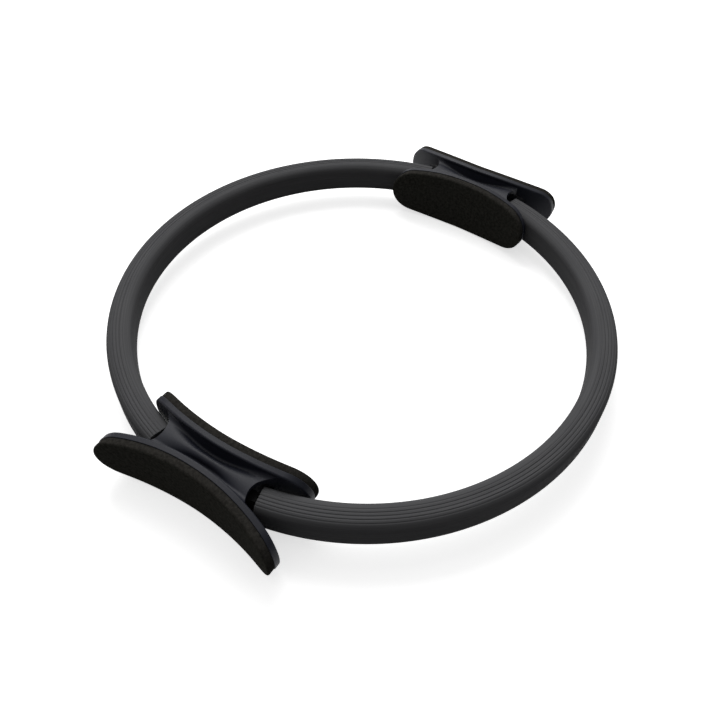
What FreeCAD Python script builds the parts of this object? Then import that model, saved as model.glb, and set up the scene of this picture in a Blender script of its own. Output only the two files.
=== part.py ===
import FreeCAD, Part
import math
import os

# Pilates ring: a springy hoop in a ribbed sleeve, with two opposite handles that carry foam pads.
# Millimetres. The ring lies flat: X runs from the left handle to the right one, Z is up,
# and the origin is the ring's middle on the surface that it lies on.

# Hoop
HOOP_RADIUS = 168.0          # middle of the spring band
SLEEVE_WIDTH = 17.3          # across the tube, seen from above
SLEEVE_HEIGHT = 24.1
SLEEVE_CORNER = 6.0          # rounding between the tube's walls and its top
SLEEVE_WALL = 2.4            # between a side chamber and the outside
CHAMBER_HEIGHT = 14.0        # hollow chamber on each side of the band
BAND_HOLDER_WALL = 1.8       # between the band and a side chamber
RIB_PITCH = 2.2
RIB_DEPTH = 0.3
GROOVE_WIDTH = 0.9
GROOVES = 5                  # over the top, and again under the bottom
GROOVE_SHIFT = 1.5           # middle of the grooves, out from the tube's middle
BAND_THICKNESS = 3.0
BAND_HEIGHT = 16.0
BAND_PLAY = 0.15             # around the band in the sleeve
BAND_GAP = 2.0               # at mid-arc, where the two quarters of a band bend on each other
BEND_LENGTH = 12.0           # stretch of sleeve at mid-arc that bends
BEND_SEAM = 0.1              # between that stretch and the sleeves beside it

# Motion that the mouths leave room for
SQUEEZE_ANGLE = 14.0         # swing of each arm at its screw

# Handles
HANDLE_HEIGHT = 44.5
HANDLE_SHIFT = 4.8           # how far a handle's middle lies inside the band's circle
OUTER_LENGTH = 133.5
INNER_LENGTH = 120.0
EDGE_FLAT = 6.0              # half of the straight at the middle of a wing's long edges
EDGE_BOW = 215.0             # bow of those edges from there to the round ends
WAIST = 33.2                 # across the two pad faces at the handle's middle
FACE_RADIUS = 170.0          # hollow curve of a pad's face, seen from above
PAD_THICKNESS = 5.4
PAD_INSET = 0.5              # pad's edge inside the wing's edge
PAD_EDGE = 0.6               # rounding of the pad's face
WING_THICKNESS = 4.2
WING_RIM = 1.2               # rounding of the wing's back edge
WING_LIP = 0.35              # rounding of the wing's edge beside the pad
BARREL_LENGTH = 66.0         # along the ridge
SCOOP_DEPTH = 22.0           # half of the long oval that hollows the barrel's ends, seen from above
SCOOP_WIDTH = 17.0           # and its half across the tube
HORN_LENGTH = 9.0            # from the scoop's bottom to the tips beside the wings
WAIST_ROOF = 6.95            # barrel's ridge over the lugs' passage, at the barrel's middle
MOUTH_ROOF = 2.95            # and over the mouths, at the bottom of the scooped ends
WAIST_RIDGE_RADIUS = 3.0     # roundness of the ridges at the barrel's middle
MOUTH_RIDGE_RADIUS = 30.0    # and over the mouths
RIM_DROP = 0.35              # sloped walls' tops below the roundings of the wings' edges
WALL_DRAFT = 14.0            # degrees, slope of the walls from the wings down to the valleys
WALL_RUN = 0.4               # length of the sloped walls over the mouths
WAIST_WALL_RUN = 6.9         # and at the barrel's middle
VALLEY_OVERLAP = 0.30        # how far a valley runs into the wing that it meets
MOUTH_DEPTH = 3.0
MOUTH_CORNER = 8.5
MOUTH_HEADROOM = 1.8         # above and below the sleeve
MOUTH_PLAY = 0.50            # between the sleeve and the mouth at the end of its swing
MOUTH_INNER_PLAY = 3.4       # beside the sleeve, on the ring's inner side
SLEEVE_STANDOFF = 5.0        # sleeve's end, out from the barrel's end

# Lugs and the screws that they turn on
PIN_OFFSET = 25.0            # screw, from the handle's middle along the barrel
EYE_DIAMETER = 10.4
LUG_THICKNESS = 6.4
LUG_HEIGHT = 18.5
LUG_TO_SLEEVE = 1.2
LUG_PLAY = 0.3               # above and below the lug
POCKET_PLAY = 0.8            # beside the eye
BAND_SETBACK = 4.0           # band's end, from the screw's axis
BOND_LINE = 0.05             # glue around the band in the lug
SCREW_DIAMETER = 4.0
RUNNING_CLEARANCE = 0.05     # around the screw
HEAD_DIAMETER = 6.6
HEAD_HEIGHT = 1.9
HEAD_PLAY = 0.3              # around the head in its recess
SEAT_THICKNESS = 1.6         # floor between the head and the lug
THREAD_LENGTH = 3.6          # screw's grip in the roof
THREAD_RUNOUT = 0.4          # hole past the screw's tip
RECESS_WIDTH = 1.1           # cross recess in the head
RECESS_LENGTH = 4.2
RECESS_DEPTH = 1.1

# Places that follow from the sizes above
MID_HEIGHT = HANDLE_HEIGHT / 2
HANDLE_MIDDLE = HOOP_RADIUS - HANDLE_SHIFT
BARREL_END = BARREL_LENGTH / 2
WAIST_RIDGE = LUG_HEIGHT / 2 + LUG_PLAY + WAIST_ROOF
MOUTH_RIDGE = SLEEVE_HEIGHT / 2 + MOUTH_HEADROOM + MOUTH_ROOF
HORN_END = BARREL_END + HORN_LENGTH
WING_FACE = FACE_RADIUS + PAD_THICKNESS
WING_BACK = WING_FACE + WING_THICKNESS
WING_CORE = WING_FACE + WING_THICKNESS / 2
PIN_ANGLE = math.asin(PIN_OFFSET / HOOP_RADIUS)
PIN_REACH = HOOP_RADIUS * math.cos(PIN_ANGLE)
SLEEVE_ANGLE = math.asin((BARREL_END + SLEEVE_STANDOFF) / HOOP_RADIUS)
MID_ANGLE = math.pi / 2
Z_AXIS = FreeCAD.Vector(0, 0, 1)
ORIGIN = FreeCAD.Vector(0, 0, 0)


def vec(x, y, z):
    return FreeCAD.Vector(x, y, z)


def save(shape, node):
    shape.exportStep("parts/" + node + ".step")


def line(start, end):
    return Part.LineSegment(start, end).toShape()


def arc(start, middle, end):
    return Part.Arc(start, middle, end).toShape()


def rounded_face(half_width, half_height, radius, place):
    """Rectangle with round corners. place turns two flat coordinates into a point."""
    flat_w = half_width - radius
    flat_h = half_height - radius
    slant = radius * math.sqrt(0.5)
    edges = []
    for side in (1, -1):
        right = side * half_width
        edges.append(line(place(right, -side * flat_h), place(right, side * flat_h)))
        edges.append(arc(place(right, side * flat_h),
                         place(side * (flat_w + slant), side * (flat_h + slant)),
                         place(side * flat_w, side * half_height)))
        edges.append(line(place(side * flat_w, side * half_height), place(-side * flat_w, side * half_height)))
        edges.append(arc(place(-side * flat_w, side * half_height),
                         place(-side * (flat_w + slant), side * (flat_h + slant)),
                         place(-right, side * flat_h)))
    return Part.Face(Part.Wire(edges))


def sector(face, start, end):
    """Sweep a face that stands on the X axis about Z, between two angles in radians."""
    first = face.copy()
    first.rotate(ORIGIN, Z_AXIS, math.degrees(start))
    return first.revolve(ORIGIN, Z_AXIS, math.degrees(end - start))


def section_point(across, up):
    """Point of the hoop's cross-section, from the band's middle."""
    return vec(HOOP_RADIUS + across, 0, MID_HEIGHT + up)


def sleeve_surface(run, depth):
    """Point of the sleeve's upper outline, at a run from the top's middle and a depth under the surface."""
    flat = SLEEVE_WIDTH / 2 - SLEEVE_CORNER
    side = math.copysign(1, run)
    past = abs(run) - flat
    if past <= 0:
        return run, SLEEVE_HEIGHT / 2 - depth
    angle = past / SLEEVE_CORNER
    radius = SLEEVE_CORNER - depth
    return side * (flat + radius * math.sin(angle)), SLEEVE_HEIGHT / 2 - SLEEVE_CORNER + radius * math.cos(angle)


def ribbed_top():
    """Upper outline of the sleeve, from its outer wall to its inner wall, with a groove at each pitch."""
    end = SLEEVE_WIDTH / 2 - SLEEVE_CORNER + SLEEVE_CORNER * math.pi / 2
    stops = [(end, 0)]
    for number in range(GROOVES):
        middle = GROOVE_SHIFT + ((GROOVES - 1) / 2 - number) * RIB_PITCH
        stops.append((middle + GROOVE_WIDTH / 2, 0))
        stops.append((middle, RIB_DEPTH))
        stops.append((middle - GROOVE_WIDTH / 2, 0))
    stops.append((-end, 0))
    # the smooth shoulders are round
    edges = []
    for before, after in zip(stops, stops[1:]):
        start = section_point(*sleeve_surface(*before))
        stop = section_point(*sleeve_surface(*after))
        if before is stops[0] or after is stops[-1]:
            shoulder = sleeve_surface((before[0] + after[0]) / 2, 0)
            edges.append(arc(start, section_point(*shoulder), stop))
        else:
            edges.append(line(start, stop))
    return edges


def sleeve_face():
    """Cross-section of the sleeve: ribbed outside, a slot for the band and a chamber on each side of it."""
    top = Part.Wire(ribbed_top())
    bottom = top.mirror(vec(0, 0, MID_HEIGHT), Z_AXIS)
    wall = SLEEVE_HEIGHT / 2 - SLEEVE_CORNER
    sides = []
    for side in (1, -1):
        across = side * SLEEVE_WIDTH / 2
        sides.append(line(section_point(across, -wall), section_point(across, wall)))
    outside = Part.Wire(Part.__sortEdges__(top.Edges + bottom.Edges + sides))
    slot = rounded_face(BAND_THICKNESS / 2 + BAND_PLAY, BAND_HEIGHT / 2 + BAND_PLAY, BAND_PLAY, section_point)
    face = Part.Face(outside).cut(slot)
    inner = BAND_THICKNESS / 2 + BAND_PLAY + BAND_HOLDER_WALL
    outer = SLEEVE_WIDTH / 2 - SLEEVE_WALL
    middle = (inner + outer) / 2
    corner = (outer - inner) / 3
    for side in (1, -1):
        chamber = rounded_face((outer - inner) / 2, CHAMBER_HEIGHT / 2, corner,
                               lambda across, up: section_point(side * middle + across, up))
        face = face.cut(chamber)
    return face.Faces[0]


def make_sleeve():
    """Quarter of the hoop's sleeve, from the barrel's mouth to the stretch at mid-arc."""
    end = MID_ANGLE - (BEND_LENGTH / 2 + BEND_SEAM) / HOOP_RADIUS
    return sector(sleeve_face(), SLEEVE_ANGLE, end)


def make_bend():
    """Stretch of the sleeve at mid-arc, which bends as the ring is squeezed."""
    half = BEND_LENGTH / 2 / HOOP_RADIUS
    return sector(sleeve_face(), MID_ANGLE - half, MID_ANGLE + half)


def band_face(play):
    half_width = BAND_THICKNESS / 2 + play
    half_height = BAND_HEIGHT / 2 + play
    corners = [(half_width, -half_height), (half_width, half_height),
               (-half_width, half_height), (-half_width, -half_height), (half_width, -half_height)]
    return Part.Face(Part.makePolygon([section_point(across, up) for across, up in corners]))


def band_start():
    return PIN_ANGLE + BAND_SETBACK / HOOP_RADIUS


def make_band():
    """Quarter of a glass-fibre band, from its lug to mid-arc."""
    return sector(band_face(0), band_start(), MID_ANGLE - BAND_GAP / 2 / HOOP_RADIUS)


def make_lug():
    """Eye that turns on the screw, with a socket for the band's end."""
    pin = vec(PIN_REACH, PIN_OFFSET, MID_HEIGHT - LUG_HEIGHT / 2)
    eye = Part.makeCylinder(EYE_DIAMETER / 2, LUG_HEIGHT, pin)
    half = LUG_THICKNESS / 2
    low = -LUG_HEIGHT / 2
    corners = [(half, low), (half, -low), (-half, -low), (-half, low), (half, low)]
    tongue_face = Part.Face(Part.makePolygon([section_point(across, up) for across, up in corners]))
    end = SLEEVE_ANGLE - LUG_TO_SLEEVE / HOOP_RADIUS
    lug = eye.fuse(sector(tongue_face, PIN_ANGLE, end))
    socket = sector(band_face(BOND_LINE), band_start() - BOND_LINE / HOOP_RADIUS, SLEEVE_ANGLE)
    hole = Part.makeCylinder(SCREW_DIAMETER / 2 + RUNNING_CLEARANCE, LUG_HEIGHT, pin)
    return lug.cut(socket).cut(hole).removeSplitter()


def handle_point(out, along, up):
    """Point of the right handle, from its middle: out from the ring, along the barrel and up."""
    return vec(HANDLE_MIDDLE + out, along, MID_HEIGHT + up)


def curve_point(radius, along, side):
    """Point on a hollow curve of a wing or pad, seen from above. side is 1 outside and -1 inside."""
    centre = WAIST / 2 + FACE_RADIUS
    return side * (centre - math.sqrt(radius ** 2 - along ** 2))


def curved_plate(face_radius, back_radius, half_length, side, low, high):
    """Plate between two hollow curves."""
    def point(radius, along):
        return handle_point(curve_point(radius, along, side), along, low)
    edges = [arc(point(face_radius, -half_length), point(face_radius, 0), point(face_radius, half_length)),
             line(point(face_radius, half_length), point(back_radius, half_length)),
             arc(point(back_radius, half_length), point(back_radius, 0), point(back_radius, -half_length)),
             line(point(back_radius, -half_length), point(face_radius, -half_length))]
    return Part.Face(Part.Wire(edges)).extrude(vec(0, 0, high - low))


def oval_face(half_length, half_height, bow, place):
    """Long oval: a short straight on each long edge, bows from there, and round ends that touch the bows."""
    run = half_length - EDGE_FLAT
    end = (2 * bow * half_height - run ** 2 - half_height ** 2) / (2 * (bow - run))
    swing = math.atan2(run - end, bow - half_height)

    def on_bow(angle):
        return EDGE_FLAT + bow * math.sin(angle), half_height - bow + bow * math.cos(angle)
    turn = on_bow(swing)
    half = on_bow(swing / 2)
    edges = []
    for side in (1, -1):
        def point(along, up):
            return place(side * along, side * up)
        edges.append(arc(point(turn[0], -turn[1]), point(half_length, 0), point(*turn)))
        edges.append(arc(point(*turn), point(*half), point(EDGE_FLAT, half_height)))
        edges.append(line(point(EDGE_FLAT, half_height), point(-EDGE_FLAT, half_height)))
        edges.append(arc(point(-EDGE_FLAT, half_height), point(-half[0], half[1]), point(-turn[0], turn[1])))
    return Part.Face(Part.Wire(edges))


def outline_prism(half_length, half_height, bow, side):
    """Outline of a wing or pad, as seen along the handle's axis."""
    face = oval_face(half_length, half_height, bow, lambda along, up: handle_point(0, along, up))
    return face.extrude(vec(side * WAIST * 2, 0, 0))


def edges_on_curve(shape, radius):
    """Edges where an upright hollow face of the given radius meets the plate's narrow sides."""
    found = []
    for face in shape.Faces:
        if isinstance(face.Surface, Part.Cylinder) and abs(face.Surface.Radius - radius) < 1e-6:
            found.extend(face.Edges)
    return found


def shaped_plate(face_radius, back_radius, length, inset, side):
    half_length = length / 2 - inset
    half_height = HANDLE_HEIGHT / 2 - inset
    plate = curved_plate(face_radius, back_radius, length, side, -MID_HEIGHT, MID_HEIGHT)
    return plate.common(outline_prism(half_length, half_height, EDGE_BOW - inset, side))


def wing_length(side):
    return OUTER_LENGTH if side > 0 else INNER_LENGTH


def make_pad(side):
    """Foam sheet on a wing, with a rounded edge."""
    pad = shaped_plate(FACE_RADIUS, WING_FACE, wing_length(side), PAD_INSET, side)
    return pad.makeFillet(PAD_EDGE, edges_on_curve(pad, FACE_RADIUS))


def make_wing(side):
    wing = shaped_plate(WING_FACE, WING_BACK, wing_length(side), 0, side)
    wing = wing.makeFillet(WING_RIM, edges_on_curve(wing, WING_BACK))
    return wing.makeFillet(WING_LIP, edges_on_curve(wing, WING_FACE))


def edge_height(along):
    """Height of a wing's bowed edge over the tube's middle."""
    run = max(abs(along) - EDGE_FLAT, 0)
    return HANDLE_HEIGHT / 2 - EDGE_BOW + math.sqrt(EDGE_BOW ** 2 - run ** 2)


def barrel_section(along):
    """Upright outline across the barrel, into both wings: a ridge between two valleys, above and below."""
    share = min((along / BARREL_END) ** 2, 1)
    crown = WAIST_RIDGE + (MOUTH_RIDGE - WAIST_RIDGE) * share
    ridge = WAIST_RIDGE_RADIUS + (MOUTH_RIDGE_RADIUS - WAIST_RIDGE_RADIUS) * share ** 1.5
    run = WAIST_WALL_RUN + (WALL_RUN - WAIST_WALL_RUN) * share
    top = edge_height(along) - WING_RIM - RIM_DROP
    wall = curve_point(WING_BACK, along, 1) + VALLEY_OVERLAP
    core = curve_point(WING_CORE, along, 1)
    # the valley's arc is tangent to the sloped wall at its foot and to the ridge's arc
    draft = math.radians(WALL_DRAFT)
    foot = (wall - run * math.sin(draft), top - run * math.cos(draft))
    rise = foot[1] - crown + ridge
    valley = (foot[0] ** 2 + rise ** 2 - ridge ** 2) / (
        2 * (ridge + foot[0] * math.cos(draft) - rise * math.sin(draft)))
    middle = (foot[0] - valley * math.cos(draft), foot[1] + valley * math.sin(draft))
    lean = math.atan2(middle[0], middle[1] - crown + ridge)
    meet = (ridge * math.sin(lean), crown - ridge + ridge * math.cos(lean))
    half = (draft + math.pi / 2 + lean) / 2
    low = (middle[0] + valley * math.cos(half), middle[1] - valley * math.sin(half))

    def point(out, up):
        return handle_point(out, along, up)
    edges = []
    for side in (1, -1):
        edges.append(line(point(side * core, -side * top), point(side * core, side * top)))
        edges.append(line(point(side * core, side * top), point(side * wall, side * top)))
        edges.append(line(point(side * wall, side * top), point(side * foot[0], side * foot[1])))
        edges.append(arc(point(side * foot[0], side * foot[1]), point(side * low[0], side * low[1]),
                         point(side * meet[0], side * meet[1])))
        edges.append(arc(point(side * meet[0], side * meet[1]), point(0, side * crown),
                         point(-side * meet[0], side * meet[1])))
        edges.append(arc(point(-side * meet[0], side * meet[1]), point(-side * low[0], side * low[1]),
                         point(-side * foot[0], side * foot[1])))
        edges.append(line(point(-side * foot[0], side * foot[1]), point(-side * wall, side * top)))
        edges.append(line(point(-side * wall, side * top), point(-side * core, side * top)))
    return Part.Wire(edges)


def make_barrel():
    """Saddle between the wings, from the middle of one to the middle of the other."""
    sections = [barrel_section(HORN_END * step / 4) for step in range(-4, 5)]
    barrel = Part.makeLoft(sections, True, False)
    for side in (1, -1):
        foot = handle_point(tube_middle(), side * (BARREL_END + SCOOP_DEPTH), -MID_HEIGHT)
        oval = Part.Ellipse(foot + vec(0, SCOOP_DEPTH, 0), foot + vec(SCOOP_WIDTH, 0, 0), foot)
        scoop = Part.Face(Part.Wire([oval.toShape()])).extrude(vec(0, 0, HANDLE_HEIGHT))
        barrel = barrel.cut(scoop)
    return barrel.Solids[0]


def tube_middle():
    """How far out the tube's middle lies at the bottom of a scooped end."""
    return math.sqrt(HOOP_RADIUS ** 2 - BARREL_END ** 2) - HANDLE_MIDDLE


def mouth_sides():
    """Inner and outer side of the mouth, far enough apart for the sleeve at both ends of its swing."""
    swing = math.radians(SQUEEZE_ANGLE)
    reach = BARREL_END - PIN_OFFSET
    inner = tube_middle() - SLEEVE_WIDTH / 2 - MOUTH_INNER_PLAY
    outer = tube_middle() + reach * math.tan(swing) + SLEEVE_WIDTH / 2 / math.cos(swing) + MOUTH_PLAY
    return inner, outer


def make_bore():
    """Passage for the lugs along the barrel, with a wide mouth for the sleeve at each end."""
    half_width = EYE_DIAMETER / 2 + POCKET_PLAY
    half_height = LUG_HEIGHT / 2 + LUG_PLAY
    corner = vec(PIN_REACH - half_width, -BARREL_LENGTH, MID_HEIGHT - half_height)
    bore = Part.makeBox(2 * half_width, 2 * BARREL_LENGTH, 2 * half_height, corner)
    inner, outer = mouth_sides()
    for start in (-BARREL_END + MOUTH_DEPTH - 2 * SCOOP_DEPTH, BARREL_END - MOUTH_DEPTH):
        mouth = rounded_face((outer - inner) / 2, SLEEVE_HEIGHT / 2 + MOUTH_HEADROOM, MOUTH_CORNER,
                             lambda out, up: handle_point((outer + inner) / 2 + out, start, up))
        bore = bore.fuse(mouth.extrude(vec(0, 2 * SCOOP_DEPTH, 0)))
    return bore


def seat_height():
    """Height of the seat under a screw's head."""
    return MID_HEIGHT - LUG_HEIGHT / 2 - LUG_PLAY - SEAT_THICKNESS


def tip_height():
    """Height of a screw's tip, in the roof."""
    return MID_HEIGHT + LUG_HEIGHT / 2 + LUG_PLAY + THREAD_LENGTH


def make_handle():
    body = make_wing(1).fuse(make_barrel()).fuse(make_wing(-1)).removeSplitter()
    body = body.cut(make_bore())
    for along in (PIN_OFFSET, -PIN_OFFSET):
        foot = vec(PIN_REACH, along, 0)
        seat = vec(PIN_REACH, along, seat_height())
        hole_length = tip_height() + THREAD_RUNOUT - seat_height()
        body = body.cut(Part.makeCylinder(HEAD_DIAMETER / 2 + HEAD_PLAY, seat_height(), foot))
        body = body.cut(Part.makeCylinder(SCREW_DIAMETER / 2 + RUNNING_CLEARANCE, hole_length, seat))
    return body.Solids[0]


def make_screw(along):
    """Screw with a round head and a cross recess, put in from below."""
    seat = vec(PIN_REACH, along, seat_height())
    shank = Part.makeCylinder(SCREW_DIAMETER / 2, tip_height() - seat_height(), seat)
    head = Part.makeCylinder(HEAD_DIAMETER / 2, HEAD_HEIGHT, seat - vec(0, 0, HEAD_HEIGHT))
    screw = shank.fuse(head).removeSplitter()
    for length, width in ((RECESS_LENGTH, RECESS_WIDTH), (RECESS_WIDTH, RECESS_LENGTH)):
        corner = seat - vec(length / 2, width / 2, HEAD_HEIGHT)
        screw = screw.cut(Part.makeBox(length, width, RECESS_DEPTH, corner))
    return screw


def turned(shape):
    """The left handle's copy of a right-hand piece."""
    copy = shape.copy()
    copy.rotate(ORIGIN, Z_AXIS, 180)
    return copy


def save_handles():
    body = make_handle()
    screws = Part.makeCompound([make_screw(PIN_OFFSET), make_screw(-PIN_OFFSET)])
    pieces = {"handle_body": body, "outer_pad": make_pad(1), "inner_pad": make_pad(-1), "lug_screws": screws}
    for name, shape in pieces.items():
        save(shape, "right_" + name)
        save(turned(shape), "left_" + name)


def save_arms():
    for piece, shape in (("sleeve", make_sleeve()), ("band", make_band()), ("end_lug", make_lug())):
        for fore, mirror_y in (("front", True), ("rear", False)):
            for hand, mirror_x in (("left", True), ("right", False)):
                copy = shape
                if mirror_x:
                    copy = copy.mirror(ORIGIN, vec(1, 0, 0))
                if mirror_y:
                    copy = copy.mirror(ORIGIN, vec(0, 1, 0))
                save(copy, fore + "_" + hand + "_" + piece)
    bend = make_bend()
    save(bend, "rear_sleeve_bend")
    save(bend.mirror(ORIGIN, vec(0, 1, 0)), "front_sleeve_bend")


os.makedirs("parts", exist_ok=True)
save_handles()
save_arms()
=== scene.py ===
import math

import bmesh
import bpy
from mathutils import Euler, Matrix, Vector


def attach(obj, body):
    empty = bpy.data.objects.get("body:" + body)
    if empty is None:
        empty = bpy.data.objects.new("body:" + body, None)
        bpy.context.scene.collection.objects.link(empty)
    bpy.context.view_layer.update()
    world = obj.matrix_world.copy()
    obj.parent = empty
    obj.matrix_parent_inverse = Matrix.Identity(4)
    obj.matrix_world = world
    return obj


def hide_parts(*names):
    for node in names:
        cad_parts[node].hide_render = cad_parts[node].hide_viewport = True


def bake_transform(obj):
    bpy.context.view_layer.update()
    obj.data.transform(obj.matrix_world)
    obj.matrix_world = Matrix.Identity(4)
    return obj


# Pilates ring: two foam-padded handles on a springy hoop in a ribbed sleeve.
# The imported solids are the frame. Handles, lugs, bands and screws stay as they are and get their
# finish here. The sleeves and the pads are soft, so each is modelled again in this file.

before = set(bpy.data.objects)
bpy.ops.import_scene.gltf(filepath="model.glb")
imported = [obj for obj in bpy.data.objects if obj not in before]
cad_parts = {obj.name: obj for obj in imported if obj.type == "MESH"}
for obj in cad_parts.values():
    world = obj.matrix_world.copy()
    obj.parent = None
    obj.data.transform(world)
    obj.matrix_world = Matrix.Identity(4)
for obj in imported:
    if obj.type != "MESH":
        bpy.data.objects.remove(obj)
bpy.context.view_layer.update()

MM = 0.001

# Sizes that the solids have too
HOOP_RADIUS = 168.0 * MM                 # middle of the tube
SLEEVE_WIDTH = 17.3 * MM                 # across the tube, seen from above
SLEEVE_HEIGHT = 24.1 * MM
SLEEVE_CORNER = 6.0 * MM                 # rounding between the tube's walls and its top
SLEEVE_START = 38.0 * MM                 # sleeve's end, from the handle's middle along the barrel
GROOVES = 5                              # over the top, and again under the bottom
GROOVE_SHIFT = 1.5 * MM                  # the grooves' middle, out from the top's middle
RIB_PITCH = 2.2 * MM
HANDLE_MIDDLE = 163.2 * MM               # from the ring's middle
HANDLE_HEIGHT = 44.5 * MM
WAIST = 33.2 * MM                        # across the two pad faces at the handle's middle
FACE_RADIUS = 170.0 * MM                 # hollow curve of a pad's face, seen from above
OUTER_LENGTH = 133.5 * MM
INNER_LENGTH = 120.0 * MM
EDGE_FLAT = 6.0 * MM                     # half of the straight at the middle of a wing's long edges
EDGE_BOW = 215.0 * MM                    # bow of those edges from there to the round ends
PAD_THICKNESS = 5.4 * MM
PAD_INSET = 0.5 * MM                     # pad's edge inside the wing's edge
MID_HEIGHT = HANDLE_HEIGHT / 2
SLEEVE_END = math.asin(SLEEVE_START / HOOP_RADIUS)   # angle from the handles' axis to the sleeve's end

# Details of the sleeves that only show here
RIB_DEPTH = 0.42 * MM                    # a little deeper than in the solids
RIB_POWER = 10                           # narrows the grooves and rounds the ribs between them
RIB_STEPS = 12                           # points on each rib
OUTER_RIB_SHARE = 0.6                    # depth of the two outermost grooves, as a share of the others'
PLAIN_STEP = 1.2 * MM                    # between points on the plain part of the outline
WALL_STEP = 3.6 * MM                     # and on its straight walls
ARC_STEPS = 104
SLEEVE_LIP = 0.80                        # the hollow in the sleeve's end, as a share of its section
SLEEVE_HOLLOW = 9.0 * MM
SLEEVE_CREASE = math.radians(50)         # edges sharper than this stay sharp

# Details of the pads that only show here
PAD_CROWN = 0.3 * MM
CROWN_STEPS = ((1.5 * MM, 0.35), (2.5 * MM, 0.30), (4.0 * MM, 0.22), (4.0 * MM, 0.13))   # width, share
PAD_EDGE = 1.3 * MM                      # rounding of the face
PAD_EDGE_STEPS = 4
PAD_BACK_EDGE = 0.25 * MM
PAD_BACK_STEPS = 2
PAD_CREASE = math.radians(40)            # edges sharper than this stay sharp
END_STEPS = 24                           # points on each round end
BOW_STEPS = 14                           # and on each bowed part of the long edges
PAD_CUT_EVERY = 3.0 * MM                 # cuts that let the sheet follow its wing
FACE_LEAN = 0.75                         # a normal's least share along X on the face and the back

# Tests of place and direction
NEAR = 0.01 * MM                         # places closer than this count as the same
SQUARE_ON = 0.99                         # a normal's least share along X on a flat sheet's face

# Studio, in metres and watts
FLOOR_SIZE = 10.0
FLOOR_DROP = 0.1 * MM                    # floor under the ring
FLOOR_GLOW = 0.66                        # lifts the floor to white where no shadow falls
BOX_PLACE = (0.60, 0.60, 1.00)
BOX_SIZE = 0.9
BOX_POWER = 11.3
BRIGHT_SIDE = (0.38, 0.38, 0.843)        # from the ring to the brightest part of the studio
BRIGHT_CORE = 0.9                        # cosine of the angle from there within which it is brightest
BRIGHT_LEVEL = 0.60
DIM_LEVEL = 0.11

# Camera of the photograph, in metres, degrees and millimetres of lens
CAMERA_PLACE = (-0.29710, -0.18470, 0.37564)
CAMERA_TURN = (40.550, -1.176, -56.586)  # tilt, roll and heading
CAMERA_LENS = 34.56
CAMERA_SENSOR = 36.0
CAMERA_CLIP = 0.01


def linear(code):
    """Linear colour of an sRGB hex code."""
    shares = [int(code[place:place + 2], 16) / 255 for place in (1, 3, 5)]
    return [s / 12.92 if s <= 0.04045 else ((s + 0.055) / 1.055) ** 2.4 for s in shares] + [1.0]


def add_node(tree, kind, inputs=None, **settings):
    """Add a node with its settings. An input takes a value or another node's output."""
    made = tree.nodes.new(kind)
    for name, value in settings.items():
        setattr(made, name, value)
    for name, value in (inputs or {}).items():
        if isinstance(value, bpy.types.NodeSocket):
            tree.links.new(value, made.inputs[name])
        else:
            made.inputs[name].default_value = value
    return made


def start_material(name):
    """New material with an empty tree, its output and its shader."""
    material = bpy.data.materials.new(name)
    material.use_nodes = True
    tree = material.node_tree
    tree.nodes.clear()
    shader = add_node(tree, "ShaderNodeBsdfPrincipled")
    add_node(tree, "ShaderNodeOutputMaterial", {"Surface": shader.outputs["BSDF"]})
    return material, tree, shader


def per_size(size):
    """Texture scale that gives features of a size in metres."""
    return 1.0 / size


def black_abs():
    """Black ABS, moulded in a spark-eroded tool: satin, cool black, with a fine even grain."""
    material, tree, shader = start_material("black_abs_moulded")
    place = add_node(tree, "ShaderNodeTexCoord").outputs["Object"]
    # the real grain is about 0.1 mm and is drawn at 0.5 mm so that it shows
    grain = add_node(tree, "ShaderNodeTexNoise",
                     {"Vector": place, "Scale": per_size(0.5 * MM), "Detail": 3.0, "Roughness": 0.6})
    flow = add_node(tree, "ShaderNodeTexNoise",
                    {"Vector": place, "Scale": per_size(22.0 * MM), "Detail": 2.0})
    tone = add_node(tree, "ShaderNodeMix",
                    {"Factor": flow.outputs["Fac"], "A": linear("#14161f"), "B": linear("#1a1c27")},
                    data_type="RGBA")
    gloss = add_node(tree, "ShaderNodeMapRange",
                     {"Value": grain.outputs["Fac"], "From Min": 0.3, "From Max": 0.7,
                      "To Min": 0.46, "To Max": 0.58})
    bump = add_node(tree, "ShaderNodeBump",
                    {"Height": grain.outputs["Fac"], "Strength": 0.16, "Distance": 0.05 * MM})
    tree.links.new(tone.outputs["Result"], shader.inputs["Base Color"])
    tree.links.new(gloss.outputs["Result"], shader.inputs["Roughness"])
    tree.links.new(bump.outputs["Normal"], shader.inputs["Normal"])
    shader.inputs["IOR"].default_value = 1.53
    shader.inputs["Specular IOR Level"].default_value = 0.27
    return material


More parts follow.
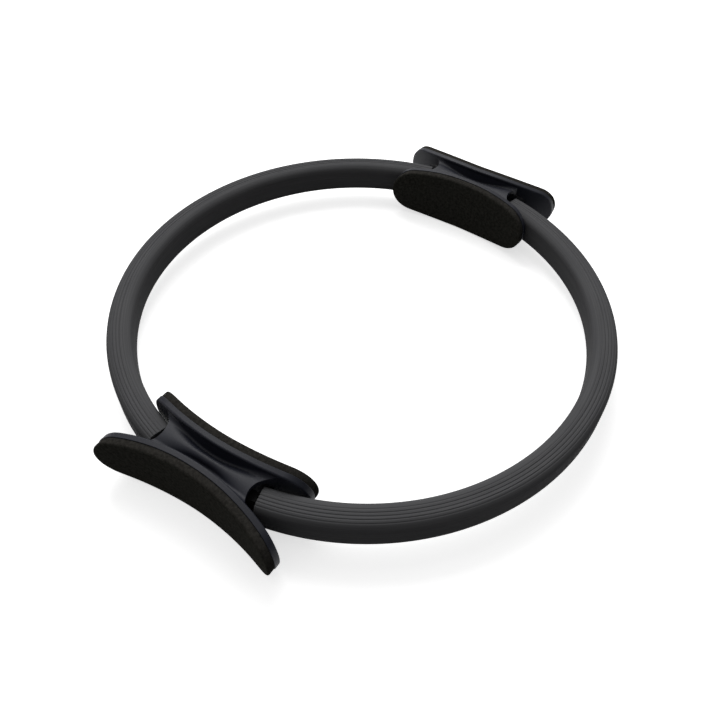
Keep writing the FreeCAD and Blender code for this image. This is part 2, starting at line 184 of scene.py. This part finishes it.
def eva_foam(name, dark, light, depth):
    """Closed-cell EVA foam: dull, dark and mottled, olive in cast, with fine pits where it was cut, whose
    hollows are darkened with painted shade.
    """
    material, tree, shader = start_material(name)
    place = add_node(tree, "ShaderNodeTexCoord").outputs["Object"]
    # cells are 0.2 to 0.4 mm and are drawn at 0.7 mm so that they show
    cells = add_node(tree, "ShaderNodeTexVoronoi",
                     {"Vector": place, "Scale": per_size(0.7 * MM), "Randomness": 1.0})
    mottle = add_node(tree, "ShaderNodeTexNoise",
                      {"Vector": place, "Scale": per_size(2.0 * MM), "Detail": 5.0, "Roughness": 0.7})
    spread = add_node(tree, "ShaderNodeMapRange",
                      {"Value": mottle.outputs["Fac"], "From Min": 0.3, "From Max": 0.7})
    tone = add_node(tree, "ShaderNodeMix",
                    {"Factor": spread.outputs["Result"], "A": linear(dark), "B": linear(light)},
                    data_type="RGBA")
    # painted shade: the colour is darkened towards each cell's middle, where the bump sinks into a pit
    pit_shade = add_node(tree, "ShaderNodeMapRange",
                    {"Value": cells.outputs["Distance"], "From Min": 0.0, "From Max": 0.8,
                     "To Min": 0.82, "To Max": 1.0})
    shade = add_node(tree, "ShaderNodeMix",
                     {"Factor": 1.0, "A": tone.outputs["Result"], "B": pit_shade.outputs["Result"]},
                     data_type="RGBA", blend_type="MULTIPLY")
    bump = add_node(tree, "ShaderNodeBump",
                    {"Height": cells.outputs["Distance"], "Strength": 0.5, "Distance": depth})
    tree.links.new(shade.outputs["Result"], shader.inputs["Base Color"])
    tree.links.new(bump.outputs["Normal"], shader.inputs["Normal"])
    shader.inputs["Roughness"].default_value = 1.0
    shader.inputs["IOR"].default_value = 1.45
    shader.inputs["Specular IOR Level"].default_value = 0.03
    return material


def tpe_sleeve():
    """Extruded TPE: neutral dark grey, matte, with faint drawn lines along the tube."""
    material, tree, shader = start_material("grey_tpe_extruded")
    place = add_node(tree, "ShaderNodeAttribute", attribute_name="tube_place").outputs["Vector"]
    # lines from the die are 0.7 mm wide and run on for 70 mm, over slower changes of tone
    lines = add_node(tree, "ShaderNodeMapping",
                     {"Vector": place,
                      "Scale": (per_size(70 * MM), per_size(0.7 * MM), per_size(0.7 * MM))})
    streaks = add_node(tree, "ShaderNodeTexNoise",
                       {"Vector": lines.outputs["Vector"], "Scale": 1.0, "Detail": 3.0})
    bands = add_node(tree, "ShaderNodeMapping",
                     {"Vector": place, "Scale": (per_size(45 * MM), per_size(6 * MM), per_size(6 * MM))})
    drift = add_node(tree, "ShaderNodeTexNoise",
                     {"Vector": bands.outputs["Vector"], "Scale": 1.0, "Detail": 2.0})
    tone = add_node(tree, "ShaderNodeMix",
                    {"Factor": drift.outputs["Fac"], "A": linear("#4f4f51"), "B": linear("#5a5a5b")},
                    data_type="RGBA")
    shade = add_node(tree, "ShaderNodeMapRange",
                     {"Value": streaks.outputs["Fac"], "From Min": 0.3, "From Max": 0.7,
                      "To Min": 0.86, "To Max": 1.06})
    colour = add_node(tree, "ShaderNodeMix",
                      {"Factor": 1.0, "A": tone.outputs["Result"], "B": shade.outputs["Result"]},
                      data_type="RGBA", blend_type="MULTIPLY")
    bump = add_node(tree, "ShaderNodeBump",
                    {"Height": streaks.outputs["Fac"], "Strength": 0.35, "Distance": 0.08 * MM})
    tree.links.new(colour.outputs["Result"], shader.inputs["Base Color"])
    tree.links.new(bump.outputs["Normal"], shader.inputs["Normal"])
    shader.inputs["Roughness"].default_value = 0.70
    shader.inputs["IOR"].default_value = 1.5
    shader.inputs["Specular IOR Level"].default_value = 0.02
    return material


def glass_fibre():
    """Pultruded glass fibre in black resin: fine straight fibres and a dull gloss."""
    material, tree, shader = start_material("black_glass_fibre_pultruded")
    place = add_node(tree, "ShaderNodeTexCoord").outputs["Object"]
    # single fibres are too fine to show, so bundles of 0.4 mm are drawn
    stretch = add_node(tree, "ShaderNodeMapping",
                       {"Vector": place, "Scale": (per_size(9 * MM), per_size(9 * MM), per_size(0.4 * MM))})
    fibres = add_node(tree, "ShaderNodeTexNoise", {"Vector": stretch.outputs["Vector"], "Scale": 1.0})
    tone = add_node(tree, "ShaderNodeMix",
                    {"Factor": fibres.outputs["Fac"], "A": linear("#0e0e0e"), "B": linear("#1d1d1c")},
                    data_type="RGBA")
    tree.links.new(tone.outputs["Result"], shader.inputs["Base Color"])
    shader.inputs["Roughness"].default_value = 0.45
    shader.inputs["IOR"].default_value = 1.55
    return material


def nylon_black_and_shade():
    """Glass-filled nylon: dull black with a cloudy surface, made darker than the nylon's own black as
    painted shade for the lugs inside the handles' mouths.
    """
    material, tree, shader = start_material("nylon_black_and_painted_shade")
    place = add_node(tree, "ShaderNodeTexCoord").outputs["Object"]
    cloud = add_node(tree, "ShaderNodeTexNoise",
                     {"Vector": place, "Scale": per_size(2.5 * MM), "Detail": 3.0})
    tone = add_node(tree, "ShaderNodeMix",
                    # near-black: the nylon's own black, darkened further as painted shade inside the
                    # handles' mouths
                    {"Factor": cloud.outputs["Fac"], "A": linear("#060606"), "B": linear("#0d0d0d")},
                    data_type="RGBA")
    tree.links.new(tone.outputs["Result"], shader.inputs["Base Color"])
    shader.inputs["Roughness"].default_value = 0.6
    shader.inputs["IOR"].default_value = 1.53
    shader.inputs["Specular IOR Level"].default_value = 0.1
    return material


def zinc_steel():
    """Zinc-plated steel: pale metal, a little uneven from the bath."""
    material, tree, shader = start_material("zinc_plated_steel")
    place = add_node(tree, "ShaderNodeTexCoord").outputs["Object"]
    bath = add_node(tree, "ShaderNodeTexNoise",
                    {"Vector": place, "Scale": per_size(1.2 * MM), "Detail": 4.0})
    gloss = add_node(tree, "ShaderNodeMapRange",
                     {"Value": bath.outputs["Fac"], "From Min": 0.3, "From Max": 0.7,
                      "To Min": 0.26, "To Max": 0.42})
    tree.links.new(gloss.outputs["Result"], shader.inputs["Roughness"])
    shader.inputs["Base Color"].default_value = linear("#b9bcc0")
    shader.inputs["Metallic"].default_value = 1.0
    return material


def start_fresh():
    """Nothing selected, and no object being edited."""
    if bpy.context.mode != "OBJECT":
        bpy.ops.object.mode_set(mode="OBJECT")
    bpy.ops.object.select_all(action="DESELECT")


def select_points(piece, test):
    """In edit mode, select the points that pass a test of their place."""
    mesh = bmesh.from_edit_mesh(piece.data)
    bpy.ops.mesh.select_all(action="DESELECT")
    for point in mesh.verts:
        point.select_set(bool(test(point.co)))
    mesh.select_flush(True)
    bmesh.update_edit_mesh(piece.data)


def select_faces(piece, test):
    """In edit mode, select the faces whose normal passes a test."""
    mesh = bmesh.from_edit_mesh(piece.data)
    bpy.ops.mesh.select_all(action="DESELECT")
    for face in mesh.faces:
        face.select_set(bool(test(face.normal)))
    bmesh.update_edit_mesh(piece.data)


def rib_depth(run):
    """Depth of the sleeve's surface under its plain outline, at a run from the top's middle."""
    place = (run - GROOVE_SHIFT) / RIB_PITCH
    number = round(place)
    if abs(number) > GROOVES // 2:
        return 0.0
    share = OUTER_RIB_SHARE if abs(number) == GROOVES // 2 else 1.0
    return RIB_DEPTH * share * math.cos(math.pi * (place - number)) ** RIB_POWER


def outline_point(run):
    """Point across and up on the sleeve's upper outline, at a run from the top's middle."""
    depth = rib_depth(run)
    side = math.copysign(1.0, run)
    flat = SLEEVE_WIDTH / 2 - SLEEVE_CORNER
    past = abs(run) - flat
    if past <= 0:
        return run, SLEEVE_HEIGHT / 2 - depth
    angle = past / SLEEVE_CORNER
    if angle >= math.pi / 2:
        drop = past - SLEEVE_CORNER * math.pi / 2
        return side * (SLEEVE_WIDTH / 2 - depth), SLEEVE_HEIGHT / 2 - SLEEVE_CORNER - drop
    reach = SLEEVE_CORNER - depth
    return (side * (flat + reach * math.sin(angle)),
            SLEEVE_HEIGHT / 2 - SLEEVE_CORNER + reach * math.cos(angle))


def even_steps(start, stop, step):
    """Places from start up to stop, about a step apart, without stop itself."""
    count = max(1, round(abs(stop - start) / step))
    return [start + (stop - start) * number / count for number in range(count)]


def sleeve_outline():
    """Closed outline of the sleeve: ribs on the top and the bottom, plain walls between them."""
    corner_end = SLEEVE_WIDTH / 2 - SLEEVE_CORNER + SLEEVE_CORNER * math.pi / 2
    wall_end = corner_end + SLEEVE_HEIGHT / 2 - SLEEVE_CORNER
    first = GROOVE_SHIFT + GROOVES * RIB_PITCH / 2
    last = GROOVE_SHIFT - GROOVES * RIB_PITCH / 2
    runs = even_steps(wall_end, corner_end, WALL_STEP)[1:]
    runs += even_steps(corner_end, first, PLAIN_STEP)
    runs += even_steps(first, last, RIB_PITCH / RIB_STEPS)
    runs += even_steps(last, -corner_end, PLAIN_STEP)
    runs += even_steps(-corner_end, -wall_end, WALL_STEP)
    top = [outline_point(run) for run in runs]
    return top + [(across, -up) for across, up in reversed(top)]


def on_arc(angle, across, up):
    """Point of the hoop at an angle from +X, across its section and up from its middle."""
    radius = HOOP_RADIUS + across
    return Vector((radius * math.cos(angle), radius * math.sin(angle), MID_HEIGHT + up))


def close_sleeve_end(sleeve, angle, inward):
    """Hollow out one end of the sleeve: a rim, and a recess that the band comes out of."""
    middle = on_arc(angle, 0, 0)
    along = Vector((-math.sin(angle), math.cos(angle), 0)) * inward
    select_points(sleeve, lambda place: abs((place - middle).dot(along)) < NEAR
                  and (place - middle).length < SLEEVE_HEIGHT)
    bpy.ops.mesh.extrude_region_move()
    bpy.ops.transform.resize(value=(SLEEVE_LIP,) * 3, center_override=middle)
    bpy.ops.mesh.extrude_region_move(TRANSFORM_OT_translate={"value": along * SLEEVE_HOLLOW})
    bpy.ops.mesh.edge_face_add()


def draw_outline(name, points):
    """New piece that is one closed line, left in edit mode with the line selected."""
    start_fresh()
    # a plane that is merged into one point starts the line
    bpy.ops.mesh.primitive_plane_add(size=SLEEVE_WIDTH, location=points[0])
    piece = bpy.context.object
    piece.name = name
    bpy.ops.object.transform_apply(location=True, rotation=True, scale=True)
    bpy.ops.object.mode_set(mode="EDIT")
    bpy.ops.mesh.select_all(action="SELECT")
    bpy.ops.mesh.merge(type="CENTER")
    for before, after in zip(points, points[1:]):
        bpy.ops.mesh.extrude_region_move(TRANSFORM_OT_translate={"value": after - before})
    ends = (points[0], points[-1])
    select_points(piece, lambda place: any((place - end).length < NEAR for end in ends))
    bpy.ops.mesh.edge_face_add()
    bpy.ops.mesh.select_all(action="SELECT")
    return piece


def make_sleeve(name):
    """Rear sleeve, from one handle to the other: its outline is spun round the ring."""
    sweep = math.pi - 2 * SLEEVE_END
    sleeve = draw_outline(name, [on_arc(SLEEVE_END, across, up) for across, up in sleeve_outline()])
    # the spin tool turns the other way about its axis
    bpy.ops.mesh.spin(steps=ARC_STEPS, angle=-sweep, center=(0, 0, 0), axis=(0, 0, 1))
    close_sleeve_end(sleeve, SLEEVE_END, 1)
    close_sleeve_end(sleeve, SLEEVE_END + sweep, -1)
    bpy.ops.mesh.select_all(action="SELECT")
    bpy.ops.mesh.normals_make_consistent(inside=False)
    bpy.ops.object.mode_set(mode="OBJECT")
    bpy.ops.object.shade_smooth_by_angle(angle=SLEEVE_CREASE)
    mark_tube_places(sleeve)
    return sleeve


def turned_copy(piece, name):
    """Copy with its own mesh, turned half round the ring's middle."""
    start_fresh()
    piece.select_set(True)
    bpy.context.view_layer.objects.active = piece
    bpy.ops.object.duplicate(linked=False)
    copy = bpy.context.object
    copy.name = name
    copy.rotation_euler = (0, 0, math.pi)
    bpy.ops.object.transform_apply(location=True, rotation=True, scale=True)
    return copy


def mark_tube_places(sleeve):
    """Keep each point's place along, across and up the tube, for the finish to follow."""
    layer = sleeve.data.attributes.new("tube_place", "FLOAT_VECTOR", "POINT")
    for point, mark in zip(sleeve.data.vertices, layer.data):
        radius = math.hypot(point.co.x, point.co.y)
        angle = math.atan2(point.co.y, point.co.x)
        mark.vector = (angle * HOOP_RADIUS, radius - HOOP_RADIUS, point.co.z - MID_HEIGHT)


def pad_outline(length):
    """Long oval of a pad, along and up: a short straight and two bows on each long edge, and round ends."""
    half_length = length / 2 - PAD_INSET
    half_height = HANDLE_HEIGHT / 2 - PAD_INSET
    bow = EDGE_BOW - PAD_INSET
    run = half_length - EDGE_FLAT
    end = (2 * bow * half_height - run ** 2 - half_height ** 2) / (2 * (bow - run))
    swing = math.atan2(run - end, bow - half_height)
    quarter = []
    for step in range(BOW_STEPS):
        angle = swing * step / BOW_STEPS
        quarter.append((EDGE_FLAT + bow * math.sin(angle), half_height - bow + bow * math.cos(angle)))
    for step in range(END_STEPS // 2):
        angle = swing + (math.pi / 2 - swing) * 2 * step / END_STEPS
        quarter.append((half_length - end + end * math.sin(angle), end * math.cos(angle)))
    half = quarter + [(half_length, 0.0)] + [(along, -up) for along, up in reversed(quarter)]
    return half + [(-along, -up) for along, up in half]


def make_pad(name, length, out):
    """Right-hand foam pad: a die-cut sheet with a soft rim and a slight crown, hollowed to fit its wing."""
    # the sheet starts flat, with its face towards +X
    points = [Vector((-PAD_CROWN, along, MID_HEIGHT + up)) for along, up in pad_outline(length)]
    pad = draw_outline(name, points)
    bpy.ops.mesh.edge_face_add()
    bpy.ops.mesh.extrude_region_move(TRANSFORM_OT_translate={"value": (PAD_CROWN - PAD_THICKNESS, 0, 0)})
    bpy.ops.mesh.select_all(action="SELECT")
    bpy.ops.mesh.normals_make_consistent(inside=False)
    select_points(pad, lambda place: place.x > -PAD_CROWN - NEAR)
    bpy.ops.mesh.bevel(offset=PAD_EDGE, segments=PAD_EDGE_STEPS, affect="EDGES")
    select_points(pad, lambda place: place.x < -PAD_THICKNESS + NEAR)
    bpy.ops.mesh.bevel(offset=PAD_BACK_EDGE, segments=PAD_BACK_STEPS, affect="EDGES")
    # the crown rises in steps from the rim
    select_faces(pad, lambda normal: normal.x > SQUARE_ON)
    for width, share in CROWN_STEPS:
        bpy.ops.mesh.inset(thickness=width, depth=PAD_CROWN * share)
    cuts = int(length / 2 / PAD_CUT_EVERY)
    for number in range(-cuts, cuts + 1):
        bpy.ops.mesh.select_all(action="SELECT")
        bpy.ops.mesh.bisect(plane_co=(0, number * PAD_CUT_EVERY, 0), plane_no=(0, 1, 0))
    # each point goes out to its place on a round hollow, as the sheet does when it is pressed on the wing
    mesh = bmesh.from_edit_mesh(pad.data)
    for point in mesh.verts:
        deep = FACE_RADIUS - point.co.x
        hollow = FACE_RADIUS - math.sqrt(deep ** 2 - point.co.y ** 2)
        point.co.x = HANDLE_MIDDLE + out * (WAIST / 2 + hollow)
    bmesh.update_edit_mesh(pad.data)
    bpy.ops.mesh.select_all(action="SELECT")
    bpy.ops.mesh.normals_make_consistent(inside=False)
    bpy.ops.object.mode_set(mode="OBJECT")
    bpy.ops.object.shade_smooth_by_angle(angle=PAD_CREASE)
    return pad


def paint_pad(pad, face, edge):
    """Face finish on the pad's hollow side and back, cut finish round its edge."""
    pad.data.materials.append(face)
    pad.data.materials.append(edge)
    for polygon in pad.data.polygons:
        polygon.material_index = 0 if abs(polygon.normal.x) > FACE_LEAN else 1


def finish_node(node, material):
    """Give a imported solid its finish."""
    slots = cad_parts[node].data.materials
    slots.clear()
    slots.append(material)


def dress_handles():
    """Finish the handle bodies and their screws, and put the foam pads on the wings."""
    abs_finish = black_abs()
    steel = zinc_steel()
    foam_face = eva_foam("black_eva_foam_face", "#242320", "#44433e", depth=0.10 * MM)
    foam_edge = eva_foam("black_eva_foam_cut", "#1f1e1c", "#3a3835", depth=0.14 * MM)
    for hand in ("left", "right"):
        finish_node(hand + "_handle_body", abs_finish)
        finish_node(hand + "_lug_screws", steel)
    for place, length, out in (("outer", OUTER_LENGTH, 1), ("inner", INNER_LENGTH, -1)):
        pad = make_pad("right_" + place + "_foam", length, out)
        paint_pad(pad, foam_face, foam_edge)
        copy = turned_copy(pad, "left_" + place + "_foam")
        for hand, piece in (("right", pad), ("left", copy)):
            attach(piece, hand + "_handle")
            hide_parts(hand + "_" + place + "_pad")


def dress_hoop():
    """Finish the bands and their lugs, and put one ribbed sleeve over each arc."""
    grey = tpe_sleeve()
    fibre = glass_fibre()
    nylon = nylon_black_and_shade()
    rear = make_sleeve("rear_ribbed_sleeve")
    rear.data.materials.append(grey)
    front = turned_copy(rear, "front_ribbed_sleeve")
    for fore, side, sleeve in (("front", -1, front), ("rear", 1, rear)):
        for hand in ("left", "right"):
            finish_node(fore + "_" + hand + "_band", fibre)
            finish_node(fore + "_" + hand + "_end_lug", nylon)
        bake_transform(sleeve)
        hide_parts(fore + "_left_sleeve", fore + "_sleeve_bend", fore + "_right_sleeve")


def lay_floor():
    """Pale floor that takes the shadows, shows as white where none fall and throws little light up."""
    material, tree, shader = start_material("pale_floor")
    shader.inputs["Roughness"].default_value = 1.0
    shader.inputs["Specular IOR Level"].default_value = 0.0
    seen = add_node(tree, "ShaderNodeLightPath")
    direct = add_node(tree, "ShaderNodeMath",
                      {0: seen.outputs["Is Camera Ray"], 1: seen.outputs["Is Glossy Ray"]},
                      operation="MAXIMUM")
    either = add_node(tree, "ShaderNodeMath",
                      {0: direct.outputs[0], 1: seen.outputs["Is Transmission Ray"]},
                      operation="MAXIMUM")
    glow = add_node(tree, "ShaderNodeMath", {0: either.outputs[0], 1: FLOOR_GLOW}, operation="MULTIPLY")
    paint = add_node(tree, "ShaderNodeMix",
                     {"Factor": either.outputs[0], "A": linear("#7c7c7c"), "B": linear("#f3f3f3")},
                     data_type="RGBA")
    tree.links.new(paint.outputs["Result"], shader.inputs["Base Color"])
    tree.links.new(glow.outputs[0], shader.inputs["Emission Strength"])
    shader.inputs["Emission Color"].default_value = linear("#ffffff")
    start_fresh()
    bpy.ops.mesh.primitive_plane_add(size=FLOOR_SIZE, location=(0, 0, -FLOOR_DROP))
    floor = bpy.context.object
    floor.name = "floor"
    floor.data.materials.append(material)


def light_studio():
    """Soft box high behind the ring, in a studio that is bright above and behind it and dim in front."""
    start_fresh()
    bpy.ops.object.light_add(type="AREA", location=BOX_PLACE)
    box = bpy.context.object
    box.name = "soft_box"
    box.data.shape = "SQUARE"
    box.data.size = BOX_SIZE
    box.data.energy = BOX_POWER
    box.rotation_euler = (-Vector(BOX_PLACE)).to_track_quat("-Z", "Y").to_euler()
    world = bpy.data.worlds.new("studio")
    bpy.context.scene.world = world
    world.use_nodes = True
    tree = world.node_tree
    tree.nodes.clear()
    toward = add_node(tree, "ShaderNodeTexCoord").outputs["Generated"]
    lean = add_node(tree, "ShaderNodeVectorMath", {0: toward, 1: BRIGHT_SIDE}, operation="DOT_PRODUCT")
    level = add_node(tree, "ShaderNodeMapRange",
                     {"Value": lean.outputs["Value"], "From Min": 0.0, "From Max": BRIGHT_CORE,
                      "To Min": DIM_LEVEL, "To Max": BRIGHT_LEVEL},
                     interpolation_type="SMOOTHSTEP")
    around = add_node(tree, "ShaderNodeBackground",
                      {"Color": linear("#ffffff"), "Strength": level.outputs["Result"]})
    add_node(tree, "ShaderNodeOutputWorld", {"Surface": around.outputs[0]})


def place_camera():
    """Camera of the photograph: above the near handle, looking along the ring."""
    data = bpy.data.cameras.new("camera")
    data.sensor_width = CAMERA_SENSOR
    data.lens = CAMERA_LENS
    data.clip_start = CAMERA_CLIP
    camera = bpy.data.objects.new("camera", data)
    turn = Euler([math.radians(angle) for angle in CAMERA_TURN])
    camera.matrix_world = Matrix.Translation(CAMERA_PLACE) @ turn.to_matrix().to_4x4()
    bpy.context.scene.collection.objects.link(camera)
    bpy.context.scene.camera = camera


dress_handles()
dress_hoop()
lay_floor()
light_studio()
place_camera()
bpy.context.scene.view_settings.view_transform = "Standard"

start_fresh()
